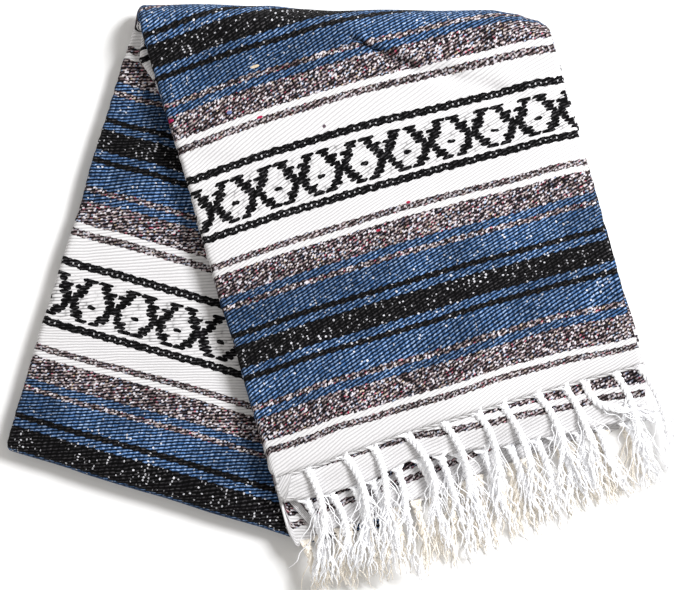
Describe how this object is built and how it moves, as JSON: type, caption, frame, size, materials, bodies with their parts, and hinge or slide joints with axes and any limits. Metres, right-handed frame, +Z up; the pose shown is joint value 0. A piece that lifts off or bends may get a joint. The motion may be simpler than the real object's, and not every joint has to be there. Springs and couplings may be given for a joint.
{
  "type": "folded mexican falsa blanket",
  "caption": "Striped woven blanket with knotted fringe, folded into a thick strip and folded over at an angle, lying flat.",
  "frame": {"origin": "middle of the bounding box, on the surface that the blanket lies on", "axes": "+Z up, +X along the angled fold to the right as seen from above, -Y towards the fringed ends"},
  "size_m": [0.5856, 0.5114, 0.0436],
  "materials": {
    "cloth": "coarse weft-faced weave, matt, striped",
    "fringe": "matt twisted yarn"
  },
  "bodies": {
    "root": {"cloth_front": "cloth", "cloth_back": "cloth", "hidden_layers": "cloth", "end_middle": "cloth", "end_lower": "cloth", "fringe_top": "fringe", "fringe_middle": "fringe", "fringe_lower": "fringe"}
  },
  "joints": []
}
